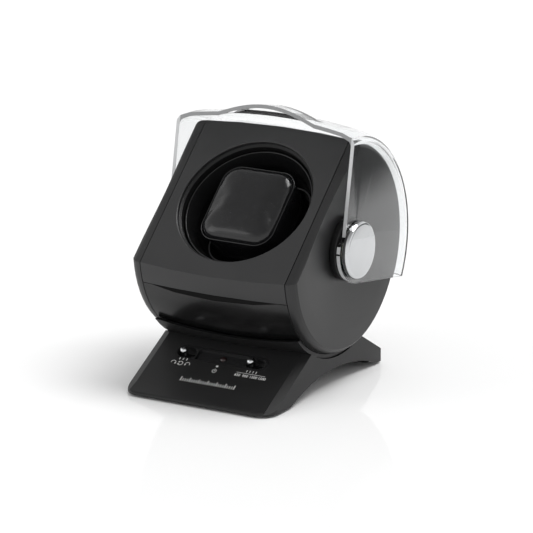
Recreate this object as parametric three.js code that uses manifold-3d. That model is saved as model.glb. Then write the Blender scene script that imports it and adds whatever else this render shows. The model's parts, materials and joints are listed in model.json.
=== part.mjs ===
// Watch winder box: a horizontal drum with a flat leaning front, held in a bridge-shaped base,
// with a rotating watch cup inside and a clear cover that swings about the drum's axis.
// Millimetres. X to the right, Y to the back, Z up. Every piece is drawn with the drum's axis
// over the origin, and the whole is then moved so that the origin is the middle of the object's
// box, on the surface it stands on.
import * as THREE from 'three';
import { mergeVertices } from 'three/addons/utils/BufferGeometryUtils.js';
import Module from 'manifold-3d';

const wasm = await Module();
wasm.setup();

// ---------------------------------------------------------------- driving dimensions
const GAP = 0.3; // between touching pieces
const DEG = Math.PI / 180;

// drum
const AXIS_Z = 100; // height of the drum's axis
const DRUM_R = 75; // radius at the ends of the middle section
const CROWN = 2.6; // extra radius at the middle
const MID_X = 58; // half length of the middle section
const CAP_X = 66; // outer face of the side caps
const CAP_SEAM = 0.6; // groove between the caps and the front fascia
const DISH_X = 63.2; // the caps' outer face at the pivot, where it is dished
const WALL = 2.5;
const LEAN = 43; // front face's normal, degrees back from vertical
const FACE_W = 43.7; // front face's distance from the axis
const CHIN_END = 199.2; // lower edge of the front fascia, degrees from +Y
const NOTCH_DROP = 5.8; // finger notch's height at its middle
const NOTCH_ROOT_R = 75.1; // radius of the notch's facet right under the fascia
const NOTCH_X = 57; // half width of the cut
const DRUM_SEGMENTS = 64;

// opening and rotating cup, measured along the front face's normal from the drum's axis
const OPEN_R = 50.4;
const BEZEL_R = 48.6;
const CUP_RIM_R = 47.9;
const CUP_RIM_W = 36;
const CUP_WALL_R = 45;
const CUP_INNER_R = 43;
const CUP_FLOOR_W = -8;
const CUP_BASE_W = -10.4;
const SPINDLE_R = 4;
const SPINDLE_END_W = -34;
const PLATE_W = -24; // motor plate's front face
const PLATE_T = 3;
const POST_X = 50;
const POST_U = 26;
const GEAR_W0 = -20.5;
const GEAR_W1 = -15.5;
const GEAR_MODULE = 1.2;
const GEAR_TEETH = 40;
const PINION_TEETH = 10;
const MOTOR_R = 12;
const MOTOR_LEN = 24;
const CUSHION_X = 29.5; // half width
const CUSHION_U = 31.5; // half height
const CUSHION_TOP_W = 43;

// clear cover, open position
const COVER_CROWN_R = 87.4;
const COVER_DROP = 4.9; // fall of the crown at x = 60
const COVER_X = 72; // outer face of the side plates
const COVER_T = 2.7;
const COVER_FRONT = 16.4; // front edge's distance in front of the axis
const COVER_FRONT_LEAN = 10.5; // degrees back from vertical
const TAB_X = 39;
const TAB_RISE = 6.8;
const LUG_R = 22.2; // side plates' rounded corner about the pivot
const TAB_DEPTH = 15;
const PIVOT_R = 8.7;
const HUB_R = 22.4;
const PUCK_R = 20.4;
const PUCK_X = 77;

// base
const BASE_X = 59.4;
const FOOT_Z = 1.5; // lower edge of the base shell
const CRADLE_R = 78.5;
const TOE_Y = -98;
const HEEL_Y = 64.3;
const ARCH_R = 162.4;
const ARCH_Y = -6;
const ARCH_TOP = 13.8;
const PANEL_Y = -40; // point on the control panel's plane
const PANEL_Z = 34;
const PANEL_SLOPE = 29.35; // degrees
const PANEL_FLAT_X = 54; // half width of the panel's flat
const DIR_X = -33.4; // direction lever's first position
const DIR_TRAVEL = 5.7;
const TPD_X = 20.9; // turns-per-day lever's first position
const TPD_TRAVEL = 7.4;
const LEVER_S = 18.7; // distance down the panel

// ---------------------------------------------------------------- frames
const V = (x, y, z) => new THREE.Vector3(x, y, z);
const basis = (x, y, z, o = V(0, 0, 0)) => new THREE.Matrix4().makeBasis(x, y, z).setPosition(o);
const AXIS_O = V(0, 0, AXIS_Z);
// (x, u, w): u up the front face, w out of it
const TILT = basis(
  V(1, 0, 0),
  V(0, Math.cos(LEAN * DEG), Math.sin(LEAN * DEG)),
  V(0, -Math.sin(LEAN * DEG), Math.cos(LEAN * DEG)),
  AXIS_O,
);
// (x, up the slope, out of the panel)
const PANEL = basis(
  V(1, 0, 0),
  V(0, Math.cos(PANEL_SLOPE * DEG), Math.sin(PANEL_SLOPE * DEG)),
  V(0, -Math.sin(PANEL_SLOPE * DEG), Math.cos(PANEL_SLOPE * DEG)),
  V(0, PANEL_Y, PANEL_Z),
);
// (x, up the cover's front edge, forwards)
const COVER = basis(
  V(1, 0, 0),
  V(0, Math.sin(COVER_FRONT_LEAN * DEG), Math.cos(COVER_FRONT_LEAN * DEG)),
  V(0, -Math.cos(COVER_FRONT_LEAN * DEG), Math.sin(COVER_FRONT_LEAN * DEG)),
  AXIS_O,
);
const UP = new THREE.Matrix4();

// ---------------------------------------------------------------- solids
function toSolid(geometry, matrix) {
  let g = geometry.clone();
  g.deleteAttribute('normal');
  g.deleteAttribute('uv');
  if (matrix) {
    g.applyMatrix4(matrix);
  }
  g = mergeVertices(g, 1e-4);
  const index = Array.from(g.index.array);
  const triVerts = [];
  for (let i = 0; i < index.length; i += 3) {
    const [a, b, c] = [index[i], index[i + 1], index[i + 2]];
    if (a !== b && b !== c && c !== a) {
      triVerts.push(a, b, c);
    }
  }
  const solid = new wasm.Manifold(new wasm.Mesh({
    numProp: 3,
    vertProperties: new Float32Array(g.attributes.position.array),
    triVerts: new Uint32Array(triVerts),
  }));
  return solid;
}

function toGeometry(solid) {
  const mesh = solid.getMesh();
  const geometry = new THREE.BufferGeometry();
  const verts = new Float32Array(mesh.numVert * 3);
  for (let i = 0; i < mesh.numVert; i += 1) {
    for (let k = 0; k < 3; k += 1) {
      verts[i * 3 + k] = mesh.vertProperties[i * mesh.numProp + k];
    }
  }
  geometry.setAttribute('position', new THREE.BufferAttribute(verts, 3));
  geometry.setIndex(new THREE.BufferAttribute(new Uint32Array(mesh.triVerts), 1));
  geometry.computeVertexNormals();
  return geometry;
}

const union = (...solids) => solids.reduce((a, b) => a.add(b));
const cut = (solid, ...tools) => tools.reduce((a, b) => a.subtract(b), solid);
const common = (...solids) => solids.reduce((a, b) => a.intersect(b));
const shape = (points) => new THREE.Shape(points.map(([a, b]) => new THREE.Vector2(a, b)));

// an outline in a frame's first two axes, pushed along its third
function prism(outline, low, high, frame = UP) {
  const s = outline instanceof THREE.Shape ? outline : shape(outline);
  const g = new THREE.ExtrudeGeometry(s, { depth: high - low, bevelEnabled: false, curveSegments: 4 });
  g.translate(0, 0, low);
  return toSolid(g, frame);
}

// an outline in (y, z), pushed along X
const YZ = basis(V(0, 1, 0), V(0, 0, 1), V(1, 0, 0));
const alongX = (outline, low, high) => prism(outline, low, high, YZ);
const YZ_AXIS = basis(V(0, 1, 0), V(0, 0, 1), V(1, 0, 0), AXIS_O);
const aboutAxis = (outline, low, high) => prism(outline, low, high, YZ_AXIS);
// an outline in (x, z), pushed along Y
const XZ = basis(V(1, 0, 0), V(0, 0, 1), V(0, -1, 0));
const alongY = (outline, low, high) => prism(outline, -high, -low, XZ);

// a profile of [radius, height] turned about a frame's third axis at (a, b)
function turned(profile, segments, frame = UP, a = 0, b = 0) {
  const g = new THREE.LatheGeometry(profile.map(([r, h]) => new THREE.Vector2(r, h)), segments);
  g.rotateX(Math.PI / 2);
  g.translate(a, b, 0);
  return toSolid(g, frame);
}
const rod = (r, low, high, segments, frame, a, b) =>
  turned([[0, low], [r, low], [r, high], [0, high]], segments, frame, a, b);
const ring = (r0, r1, low, high, segments, frame, a, b) =>
  turned([[r0, low], [r1, low], [r1, high], [r0, high], [r0, low]], segments, frame, a, b);
// the same about the drum's axis, with [x, radius] points
const turnedX = (profile, segments = DRUM_SEGMENTS) =>
  turned(profile.map(([x, r]) => [r, x]), segments, YZ_AXIS);
const mirrored = (points) => points.map(([x, r]) => [-x, r]).reverse();

function block(x0, x1, y0, y1, z0, z1, frame = UP) {
  const g = new THREE.BoxGeometry(x1 - x0, y1 - y0, z1 - z0);
  g.translate((x0 + x1) / 2, (y0 + y1) / 2, (z0 + z1) / 2);
  return toSolid(g, frame);
}

// a rounded rectangle centred on (a, b)
function roundRect(a, b, hx, hy, r) {
  const s = new THREE.Shape();
  s.moveTo(a - hx + r, b - hy);
  s.lineTo(a + hx - r, b - hy);
  s.absarc(a + hx - r, b - hy + r, r, -Math.PI / 2, 0);
  s.lineTo(a + hx, b + hy - r);
  s.absarc(a + hx - r, b + hy - r, r, 0, Math.PI / 2);
  s.lineTo(a - hx + r, b + hy);
  s.absarc(a - hx + r, b + hy - r, r, Math.PI / 2, Math.PI);
  s.lineTo(a - hx, b - hy + r);
  s.absarc(a - hx + r, b - hy + r, r, Math.PI, 1.5 * Math.PI);
  return s;
}

const polar = (r, degrees) => [r * Math.cos(degrees * DEG), r * Math.sin(degrees * DEG)];
// a wedge between two angles about the drum's axis
function wedge(from, to, r = 140) {
  const points = [[0, 0]];
  const steps = Math.ceil((to - from) / 15);
  for (let i = 0; i <= steps; i += 1) {
    points.push(polar(r, from + ((to - from) * i) / steps));
  }
  return aboutAxis(points, -90, 90);
}

// ---------------------------------------------------------------- drum
const crownAt = (x) => DRUM_R + CROWN * (1 - (x / MID_X) ** 2);
const CROWN_STATIONS = [-58, -32, 0, 32, 58];
// a solid inside the crowned drum, its radius changed by extra and its ends moved out by longer
function crowned(extra, longer = 0) {
  const side = CROWN_STATIONS.map((x) => [x, crownAt(x) + extra]);
  const end = MID_X + longer;
  if (longer !== 0) {
    side[0] = [-end, side[0][1]];
    side[side.length - 1] = [end, side[side.length - 1][1]];
  }
  return turnedX([[-end, 0], ...side, [end, 0]]);
}
const below = (w) => block(-100, 100, -150, 150, -200, w, TILT);

const drumTube = cut(crowned(0), crowned(-WALL, 1));
const fasciaSlab = common(
  crowned(0),
  block(-100, 100, -150, 150, FACE_W - WALL, FACE_W, TILT),
);
const chin = common(drumTube, wedge(150, CHIN_END), below(FACE_W - 0.5));
const posts = [[1, 1], [-1, 1], [1, -1], [-1, -1]].map(([i, j]) =>
  cut(
    rod(3.6, PLATE_W + GAP, FACE_W - WALL + 0.5, 20, TILT, i * POST_X, j * POST_U),
    rod(1.5, PLATE_W - 1, PLATE_W + 9, 12, TILT, i * POST_X, j * POST_U),
  ));
const openingCut = turned(
  [
    [0, FACE_W - 6], [OPEN_R, FACE_W - 6], [OPEN_R, FACE_W - 0.5],
    [OPEN_R + 1, FACE_W + 0.5], [0, FACE_W + 0.5],
  ],
  56,
  TILT,
);
const fascia = cut(union(fasciaSlab, chin, ...posts), openingCut);

// middle shell, with a ledge behind the finger notch
// the finger notch is one flat facet that slopes from the fascia's edge out to the drum's surface
const CHIN_DOWN = V(0, -Math.sin(CHIN_END * DEG), Math.cos(CHIN_END * DEG));
const CHIN_IN = V(0, -Math.cos(CHIN_END * DEG), -Math.sin(CHIN_END * DEG));
const facetRise = CROWN / NOTCH_DROP;
const notch = prism([
  [0, -90],
  [0, -NOTCH_ROOT_R],
  [12, -NOTCH_ROOT_R - 12 * facetRise],
  [12, -90],
], -NOTCH_X, NOTCH_X, basis(CHIN_DOWN, CHIN_IN, V(1, 0, 0), AXIS_O));
const ledgeCore = turnedX([[-57.6, 0], [-57.6, 63], [57.6, 63], [57.6, 0]]);
const ledgeLow = cut(common(crowned(-1, -0.4), wedge(CHIN_END + 0.3, 208)), ledgeCore);
const ledgeHigh = cut(common(crowned(-WALL - GAP - 0.1, -0.4), wedge(195, CHIN_END + 0.6)), ledgeCore);
const SADDLE_SCREWS = [[-30, 0], [30, 0]];
const drumBosses = SADDLE_SCREWS.map(([x, y]) => rod(4.2, 24.2, 33, 20, UP, x, y));
const saddleHoles = (r, low, high) => SADDLE_SCREWS.map(([x, y]) => rod(r, low, high, 16, UP, x, y));
const leadHole = rod(3.2, 10, 40, 16, UP, 0, 12);
let drumShell = common(drumTube, below(FACE_W - WALL - GAP));
drumShell = cut(drumShell, wedge(150, CHIN_END + 0.3));
drumShell = union(drumShell, ledgeLow, ledgeHigh, ...drumBosses);
drumShell = cut(drumShell, notch, ...saddleHoles(1.3, 20, 31), leadHole);

// side caps: hollow dishes with a softened rim and the same flat front
function sideCap(side) {
  const outerProfile = [
    [MID_X + CAP_SEAM, 0],
    [MID_X + CAP_SEAM, 74.9],
    [61, 74.6],
    [63.4, 73.8],
    [65, 72.7],
    [CAP_X, 71],
    [CAP_X, 58],
    [DISH_X, 25],
    [DISH_X, 0],
  ];
  const innerProfile = [
    [MID_X - 2, 0],
    [MID_X - 2, 72.4],
    [60.6, 72.2],
    [62.4, 71.2],
    [63.3, 69.6],
    [63.3, 58],
    [60.5, 25],
    [60.5, 0],
  ];
  const place = (profile) => turnedX(side > 0 ? profile : mirrored(profile));
  // the flat front falls away a little towards the rim
  const fall = [[side * (MID_X - 4), 90], [side * (MID_X - 4), FACE_W], [side * 63, FACE_W - 0.5]];
  fall.push([side * 65.2, FACE_W - 1.2], [side * 70, FACE_W - 5], [side * 70, 90]);
  const tiltSide = basis(V(1, 0, 0), V(0, -Math.sin(LEAN * DEG), Math.cos(LEAN * DEG)),
    V(0, -Math.cos(LEAN * DEG), -Math.sin(LEAN * DEG)), AXIS_O);
  const front = prism(fall, -90, 90, tiltSide);
  const outer = cut(place(outerProfile), front);
  const inner = common(place(innerProfile), below(FACE_W - WALL - 0.6));
  const bossProfile = [[58.8, 0], [58.8, 7], [62, 7], [62, 0]];
  const holeProfile = [[60.2, 0], [60.2, 2], [67, 2], [67, 0]];
  const boss = turnedX(side > 0 ? bossProfile : mirrored(bossProfile), 32);
  const hole = turnedX(side > 0 ? holeProfile : mirrored(holeProfile), 24);
  return cut(union(cut(outer, inner), boss), hole);
}

// ---------------------------------------------------------------- opening ring and cup
const bezel = turned([
  [BEZEL_R + 1.6, FACE_W - WALL - GAP],
  [BEZEL_R, FACE_W - WALL - 1.8],
  [BEZEL_R, 33.5],
  [BEZEL_R + 1.8, 33.5],
  [BEZEL_R + 2.6, 38.2],
  [52.4, 38.4],
  [52.4, FACE_W - WALL - GAP],
  [BEZEL_R + 1.6, FACE_W - WALL - GAP],
], 44, TILT);
const cupProfile = [
  [0, SPINDLE_END_W],
  [SPINDLE_R - 0.6, SPINDLE_END_W],
  [SPINDLE_R, SPINDLE_END_W + 0.6],
  [SPINDLE_R, CUP_BASE_W - 2],
  [9, CUP_BASE_W],
  [CUP_WALL_R - 3, CUP_BASE_W],
  [CUP_WALL_R, CUP_BASE_W + 3],
  [CUP_WALL_R, 20],
  [CUP_RIM_R, 33.8],
  [CUP_RIM_R, 35.4],
  [CUP_RIM_R - 0.6, CUP_RIM_W],
  [CUP_RIM_R - 1.4, CUP_RIM_W],
  [CUP_INNER_R, 24],
  [CUP_INNER_R, CUP_FLOOR_W + 2],
  [CUP_INNER_R - 2, CUP_FLOOR_W],
  [0, CUP_FLOOR_W],
];
const cup = turned(cupProfile, 40, TILT);
// cradle frame in the cup: a rounded rectangular collar that the cushion sits in
const holderOuter = prism(roundRect(0, 0, 32.6, 34.6, 16), CUP_FLOOR_W + GAP, 14, TILT);
const holderInner = prism(roundRect(0, 0, 31, 33, 14), CUP_FLOOR_W + 2.4, 20, TILT);
const holder = cut(holderOuter, holderInner);

// cushion: plain rounded block
const cushionPlan = roundRect(0, 0, CUSHION_X, CUSHION_U, 12.5);
const cushionCore = prism(cushionPlan, CUP_FLOOR_W + 2.8, CUSHION_TOP_W - 4, TILT);
const crownPlan = roundRect(0, 0, CUSHION_X - 3, CUSHION_U - 3, 11);
const cushionTop = prism(crownPlan, CUSHION_TOP_W - 5, CUSHION_TOP_W, TILT);
const cushion = union(cushionCore, cushionTop);

// ---------------------------------------------------------------- drive
function gearOutline(teeth, bore) {
  const pitch = (GEAR_MODULE * teeth) / 2;
  const root = pitch - 1.15 * GEAR_MODULE;
  const tip = pitch + 0.8 * GEAR_MODULE;
  const step = (2 * Math.PI) / teeth;
  const points = [];
  for (let i = 0; i < teeth; i += 1) {
    const a = i * step;
    for (const [r, k] of [[root, -0.31], [tip, -0.11], [tip, 0.11], [root, 0.31]]) {
      points.push([r * Math.cos(a + k * step), r * Math.sin(a + k * step)]);
    }
  }
  const s = shape(points);
  const hole = new THREE.Path();
  const sides = 16;
  for (let i = 0; i < sides; i += 1) {
    const a = (-2 * Math.PI * i) / sides;
    const r = bore / Math.cos(Math.PI / sides);
    hole[i === 0 ? 'moveTo' : 'lineTo'](r * Math.cos(a), r * Math.sin(a));
  }
  hole.closePath();
  s.holes.push(hole);
  return s;
}
const CENTRE = (GEAR_MODULE * (GEAR_TEETH + PINION_TEETH)) / 2;
const gear = prism(gearOutline(GEAR_TEETH, SPINDLE_R + GAP), GEAR_W0, GEAR_W1, TILT);
const pinionTurn = new THREE.Matrix4().makeRotationZ(Math.PI / PINION_TEETH + Math.PI / 2);
const pinionFrame = TILT.clone()
  .multiply(new THREE.Matrix4().makeTranslation(0, CENTRE, 0))
  .multiply(pinionTurn);
const pinionWheel = prism(gearOutline(PINION_TEETH, 1.2), GEAR_W0, GEAR_W1, pinionFrame);
const pinion = union(pinionWheel, rod(1.5, -33, GEAR_W1 + 1, 12, pinionFrame));
const motorPlate = cut(
  prism(roundRect(0, 4, POST_X + 5, POST_U + 9, 8), PLATE_W - PLATE_T, PLATE_W, TILT),
  rod(6.3, PLATE_W - 10, PLATE_W + 10, 32, TILT),
  rod(4, PLATE_W - 10, PLATE_W + 10, 24, TILT, 0, CENTRE),
  ...[[1, 1], [-1, 1], [1, -1], [-1, -1]].map(([i, j]) =>
    rod(1.8, PLATE_W - 10, PLATE_W + 10, 12, TILT, i * POST_X, j * POST_U)),
);
const motorFront = PLATE_W - PLATE_T - GAP;
const motor = cut(
  turned([
    [0, motorFront - MOTOR_LEN],
    [3, motorFront - MOTOR_LEN],
    [3, motorFront - MOTOR_LEN + 1.5],
    [MOTOR_R - 1, motorFront - MOTOR_LEN + 1.5],
    [MOTOR_R, motorFront - MOTOR_LEN + 2.5],
    [MOTOR_R, motorFront],
    [0, motorFront],
  ], 28, TILT, 0, CENTRE),
  rod(1.9, -33.6, motorFront + 1, 12, TILT, 0, CENTRE),
);
const bush = turned([
  [SPINDLE_R + 0.05, PLATE_W - PLATE_T - 2],
  [6, PLATE_W - PLATE_T - 2],
  [6, PLATE_W + GAP],
  [8.5, PLATE_W + GAP],
  [8.5, PLATE_W + 1.8],
  [SPINDLE_R + 0.05, PLATE_W + 1.8],
  [SPINDLE_R + 0.05, PLATE_W - PLATE_T - 2],
], 24, TILT);
const clip = ring(SPINDLE_R + GAP, 7.5, PLATE_W - PLATE_T - 4, PLATE_W - PLATE_T - 2 - GAP, 20, TILT);
function screw(frame, a, b, headLow, headR, headT, shankR, shankLen) {
  // head from headLow to headLow + headT, shank beyond it
  return turned([
    [0, headLow],
    [headR - 0.4, headLow],
    [headR, headLow + 0.4],
    [headR, headLow + headT],
    [shankR, headLow + headT],
    [shankR, headLow + headT + shankLen],
    [0, headLow + headT + shankLen],
  ], 10, frame, a, b);
}

// ---------------------------------------------------------------- clear cover
const coverAt = (x) => COVER_CROWN_R - COVER_DROP * (x / 60) ** 2;
function coverBody(inset) {
  const half = [
    [COVER_X - inset, 0],
    [COVER_X - inset, 76 - inset * 0.7],
    [69.8 - inset * 0.75, 79.2 - inset * 0.88],
  ];
  for (const x of [62 - inset * 0.4, 34]) {
    half.push([x, coverAt(x) - inset]);
  }
  const left = half.map(([x, r]) => [-x, r]);
  return turnedX([...left, [0, COVER_CROWN_R - inset], ...half.reverse()]);
}
const frontPoint = (t) => {
  const a = COVER_FRONT_LEAN * DEG;
  return [-COVER_FRONT * Math.cos(a) + t * Math.sin(a), COVER_FRONT * Math.sin(a) + t * Math.cos(a)];
};
const coverOutline = [frontPoint(110), frontPoint(9), [-16.6, 9.3], [-19.3, 7.7]];
for (let a = 163; a <= 241; a += 13) {
  coverOutline.push(polar(LUG_R, a));
}
coverOutline.push([-5.8, -22.4], [-0.8, -24.4], [95, -39.4], [120, -43.3], [120, 120], [0, 120]);
const coverSector = aboutAxis(coverOutline, -90, 90);
const tabHeight = (x) => {
  const s = Math.max(0, 1 - (x / TAB_X) ** 2) ** 1.2;
  const r = coverAt(x) + TAB_RISE * s;
  return Math.sqrt(r * r - COVER_FRONT * COVER_FRONT);
};
function tabSolid(inset) {
  const end = TAB_X;
  const points = [[end, 60], [-end, 60]].reverse();
  const top = [];
  for (let i = 0; i <= 16; i += 1) {
    const x = end - (2 * end * i) / 16;
    top.push([x, tabHeight(x) - inset]);
  }
  const body = prism([...points, ...top], COVER_FRONT - TAB_DEPTH + inset, COVER_FRONT + 3, COVER);
  // the back is rounded in plan
  const middleY = -(COVER_FRONT - TAB_DEPTH + inset) - 30;
  const plan = roundRect(0, middleY, end - inset * 0.4, 30, 11 - inset * 0.5);
  const planFrame = basis(
    V(1, 0, 0),
    V(0, 0, 0).setFromMatrixColumn(COVER, 2).negate(),
    V(0, 0, 0).setFromMatrixColumn(COVER, 1),
    AXIS_O,
  );
  return common(body, prism(plan, 50, 110, planFrame));
}
const pivotBore = turnedX([[-90, 0], [-90, PIVOT_R + 0.4], [90, PIVOT_R + 0.4], [90, 0]], 48);
const cover = cut(
  common(cut(union(coverBody(0), tabSolid(0)), coverBody(COVER_T), tabSolid(COVER_T)), coverSector),
  pivotBore,
);

const axisTurned = (side, profile, segments) => turnedX(side > 0 ? profile : mirrored(profile), segments);
const hub = (side) => cut(axisTurned(side, [
  [DISH_X + GAP, 0], [DISH_X + GAP, HUB_R - 0.6], [DISH_X + GAP + 0.5, HUB_R],
  [68, HUB_R], [68.4, HUB_R - 0.5],
  [68.4, PIVOT_R], [COVER_X, PIVOT_R], [COVER_X, 0],
], 32), axisTurned(side, [[60, 0], [60, 2.3], [80, 2.3], [80, 0]], 12));
const washer = (side) => axisTurned(side, [
  [68.6, PIVOT_R + 0.5], [68.6, 17], [69.1, 17], [69.1, PIVOT_R + 0.5], [68.6, PIVOT_R + 0.5],
], 24);
const pivotScrew = (side) => axisTurned(side, [
  [60.6, 0], [60.6, 1.7], [COVER_X + GAP, 1.7], [COVER_X + GAP, 4],
  [COVER_X + 1.8, 4], [COVER_X + 2.2, 3.4], [COVER_X + 2.2, 0],
], 14);
const puck = (side) => axisTurned(side, [
  [COVER_X + 2.9, 0], [COVER_X + 2.9, 17.6], [COVER_X + 0.4, 17.6], [COVER_X + 0.4, PUCK_R - 0.4],
  [COVER_X + 0.8, PUCK_R], [PUCK_X - 1.4, PUCK_R], [PUCK_X - 0.5, PUCK_R - 0.4],
  [PUCK_X, PUCK_R - 1.5], [PUCK_X, 0],
], 32);

// ---------------------------------------------------------------- base
const panelAt = (y) => PANEL_Z + (y - PANEL_Y) * Math.tan(PANEL_SLOPE * DEG);
const archAt = (y) => {
  const d = ARCH_R * ARCH_R - (y - ARCH_Y) ** 2;
  return Math.max(FOOT_Z, ARCH_TOP - ARCH_R + Math.sqrt(Math.max(d, 0)));
};
function arcPoints(r, from, to, steps) {
  const points = [];
  for (let i = 0; i <= steps; i += 1) {
    const [y, z] = polar(r, from + ((to - from) * i) / steps);
    points.push([y, z + AXIS_Z]);
  }
  return points;
}
function archPoints(raise, from, to, steps) {
  const points = [];
  for (let i = 0; i <= steps; i += 1) {
    const y = from + ((to - from) * i) / steps;
    points.push([y, archAt(y) + raise]);
  }
  return points;
}
const ARCH_FRONT = ARCH_Y - 61.9;
const ARCH_BACK = ARCH_Y + 61.9;
const baseProfile = [
  [TOE_Y, FOOT_Z],
  ...archPoints(0, ARCH_FRONT, ARCH_BACK, 12),
  [HEEL_Y, FOOT_Z],
  [HEEL_Y, 7.6],
  [HEEL_Y - 1, 9.6],
  [HEEL_Y - 2.8, 10.9],
  ...arcPoints(CRADLE_R, -66.3, -121.8, 16),
  [-86.3, panelAt(-86.3)],
  [-96.3, 4.1],
  [TOE_Y + 0.5, 3.3],
  [TOE_Y, 2.6],
];
function planOutline() {
  const s = new THREE.Shape();
  const front = BASE_X + 0.5;
  const back = BASE_X - 0.9;
  s.moveTo(-front + 13, TOE_Y);
  s.lineTo(front - 13, TOE_Y);
  s.absarc(front - 13, TOE_Y + 13, 13, -Math.PI / 2, 0);
  s.lineTo(back, HEEL_Y - 4);
  s.absarc(back - 4, HEEL_Y - 4, 4, 0, Math.PI / 2);
  s.lineTo(-back + 4, HEEL_Y);
  s.absarc(-back + 4, HEEL_Y - 4, 4, Math.PI / 2, Math.PI);
  s.lineTo(-front, TOE_Y + 13);
  s.absarc(-front + 13, TOE_Y + 13, 13, Math.PI, 1.5 * Math.PI);
  return s;
}
const edgeFall = (side) => prism([
  [side * PANEL_FLAT_X, 0], [side * 66, -4.4], [side * 66, 12], [side * PANEL_FLAT_X, 12],
], -8, 80, basis(
  V(1, 0, 0),
  V(0, -Math.sin(PANEL_SLOPE * DEG), Math.cos(PANEL_SLOPE * DEG)),
  V(0, -Math.cos(PANEL_SLOPE * DEG), -Math.sin(PANEL_SLOPE * DEG)),
  V(0, PANEL_Y, PANEL_Z),
));
const cavityProfile = [
  [TOE_Y + 7.2, -5],
  [HEEL_Y - 2.6, -5],
  [HEEL_Y - 2.6, 7.2],
  [HEEL_Y - 4.4, 8.6],
  ...arcPoints(CRADLE_R + 2.6, -66.8, -119.5, 12),
  [-44, panelAt(-44) - 3],
  [-85.2, panelAt(-85.2) - 3],
  [TOE_Y + 7.2, 4.4],
];
const COVER_SCREWS = [[-47, -72], [47, -72], [-47, 28], [47, 28]];
const saddleRing = cut(crowned(3.2, -0.1), crowned(GAP + 0.05, 3));
const lipPoints = [];
for (let i = 0; i <= 12; i += 1) {
  const x = -60 + 10 * i;
  lipPoints.push([x, 40 + 5 * (x / 57) ** 2]);
}
const saddle = common(saddleRing, alongY([[60, -5], [-60, -5], ...lipPoints], -90, 90));
const JACK_X = -34;
const JACK = basis(
  V(1, 0, 0),
  V(0, Math.cos(30.1 * DEG), -Math.sin(30.1 * DEG)),
  V(0, Math.sin(30.1 * DEG), Math.cos(30.1 * DEG)),
  V(JACK_X, 47, 19.35),
);
const inserts = (grow) => roundRect(-2, -LEVER_S, 36.6 + grow, 6.1 + grow, 6 + grow);
let baseShell = common(alongX(baseProfile, -70, 70), prism(planOutline(), -5, 60));
baseShell = cut(baseShell, edgeFall(1), edgeFall(-1));
baseShell = cut(baseShell, alongX(cavityProfile, -56.6, 56.6));
function boss([x, y]) {
  const low = Math.max(archAt(y - 3.6), archAt(y + 3.6)) + 3.3;
  const post = common(rod(3.6, low, 40, 16, UP, x, y), alongX(baseProfile, -60, 60));
  return cut(post, rod(1.3, 0, archAt(y) + 5.6, 12, UP, x, y));
}
baseShell = union(baseShell, saddle, ...COVER_SCREWS.map(boss));
baseShell = cut(
  baseShell,
  prism(inserts(GAP), -20, 20, PANEL),
  rod(4, -12, 12, 20, JACK),
  ...saddleHoles(1.8, 5, 40),
  leadHole,
);

// bottom plate follows the arch
function plateProfile() {
  const [y0, y1] = [TOE_Y + 7.5, HEEL_Y - 2.9];
  const low = [[y0, FOOT_Z + 0.5], ...archPoints(0.5, ARCH_FRONT, ARCH_BACK, 12), [y1, FOOT_Z + 0.5]];
  const arch = archPoints(2.5, ARCH_FRONT + 1, ARCH_BACK - 1, 12).reverse();
  const high = [[y1, FOOT_Z + 2.5], ...arch, [y0, FOOT_Z + 2.5]];
  return [...low, ...high];
}
const bottomPlate = cut(
  alongX(plateProfile(), -56.3, 56.3),
  ...COVER_SCREWS.map(([x, y]) => rod(1.7, 0, 20, 16, UP, x, y)),
  ...COVER_SCREWS.map(([x, y]) => rod(3.1, -2, archAt(y) + 1.7, 20, UP, x, y)),
  ...saddleHoles(3.2, 0, archAt(0) + 20),
);

// control insert, levers, switches, lamp and board, in the panel's frame
const wellAt = (x) => roundRect(x, -LEVER_S, 7.6, 5, 4.9);
const leverSlot = (x, travel) =>
  block(x - 1.5, x + travel + 1.5, -LEVER_S - 1.4, -LEVER_S + 1.4, -20, 5, PANEL);
const insert = cut(
  prism(inserts(0), -5.2, -0.25, PANEL),
  prism(roundRect(-2, -LEVER_S, 20.5, 5.1, 1.2), -1.7, 5, PANEL),
  prism(wellAt(DIR_X + DIR_TRAVEL / 2), -4, 5, PANEL),
  prism(wellAt(TPD_X + TPD_TRAVEL / 2), -4, 5, PANEL),
  leverSlot(DIR_X, DIR_TRAVEL),
  leverSlot(TPD_X, TPD_TRAVEL),
  rod(2.7, -20, 5, 16, PANEL, -2, -LEVER_S),
);
const lever = (x) => turned([
  [0, -7.4], [0.9, -7.4], [0.9, -3.2], [1.5, -3], [1.6, -1], [2.4, -0.6],
  [2.7, 0.6], [2.6, 2], [1.9, 3], [0.9, 3.35], [0, 3.4],
], 16, PANEL, x, -LEVER_S);
const switchBody = (x, travel) => cut(
  block(x - 5, x + travel + 5, -LEVER_S - 3.6, -LEVER_S + 3.6, -10.4, -5.6, PANEL),
  block(x - 1.4, x + travel + 1.4, -LEVER_S - 1.3, -LEVER_S + 1.3, -7.9, -5, PANEL),
);
const lamp = turned([
  [0, -10.4], [1.5, -10.4], [1.5, -5], [2.35, -4.6], [2.35, -1.6], [2, -0.9], [1.1, -0.5], [0, -0.4],
], 16, PANEL, -2, -LEVER_S);
const board = block(-41, 37, -LEVER_S - 7, -LEVER_S + 7, -12.4, -10.8, PANEL);
const jack = cut(
  turned([[0, -7.2], [3.7, -7.2], [3.7, GAP], [5.4, GAP], [5.4, 1], [5, 1.4], [0, 1.4]], 20, JACK),
  ring(0.95, 2.75, -5.8, 3, 16, JACK),
  rod(1.5, 0.6, 3, 12, JACK),
);

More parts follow.
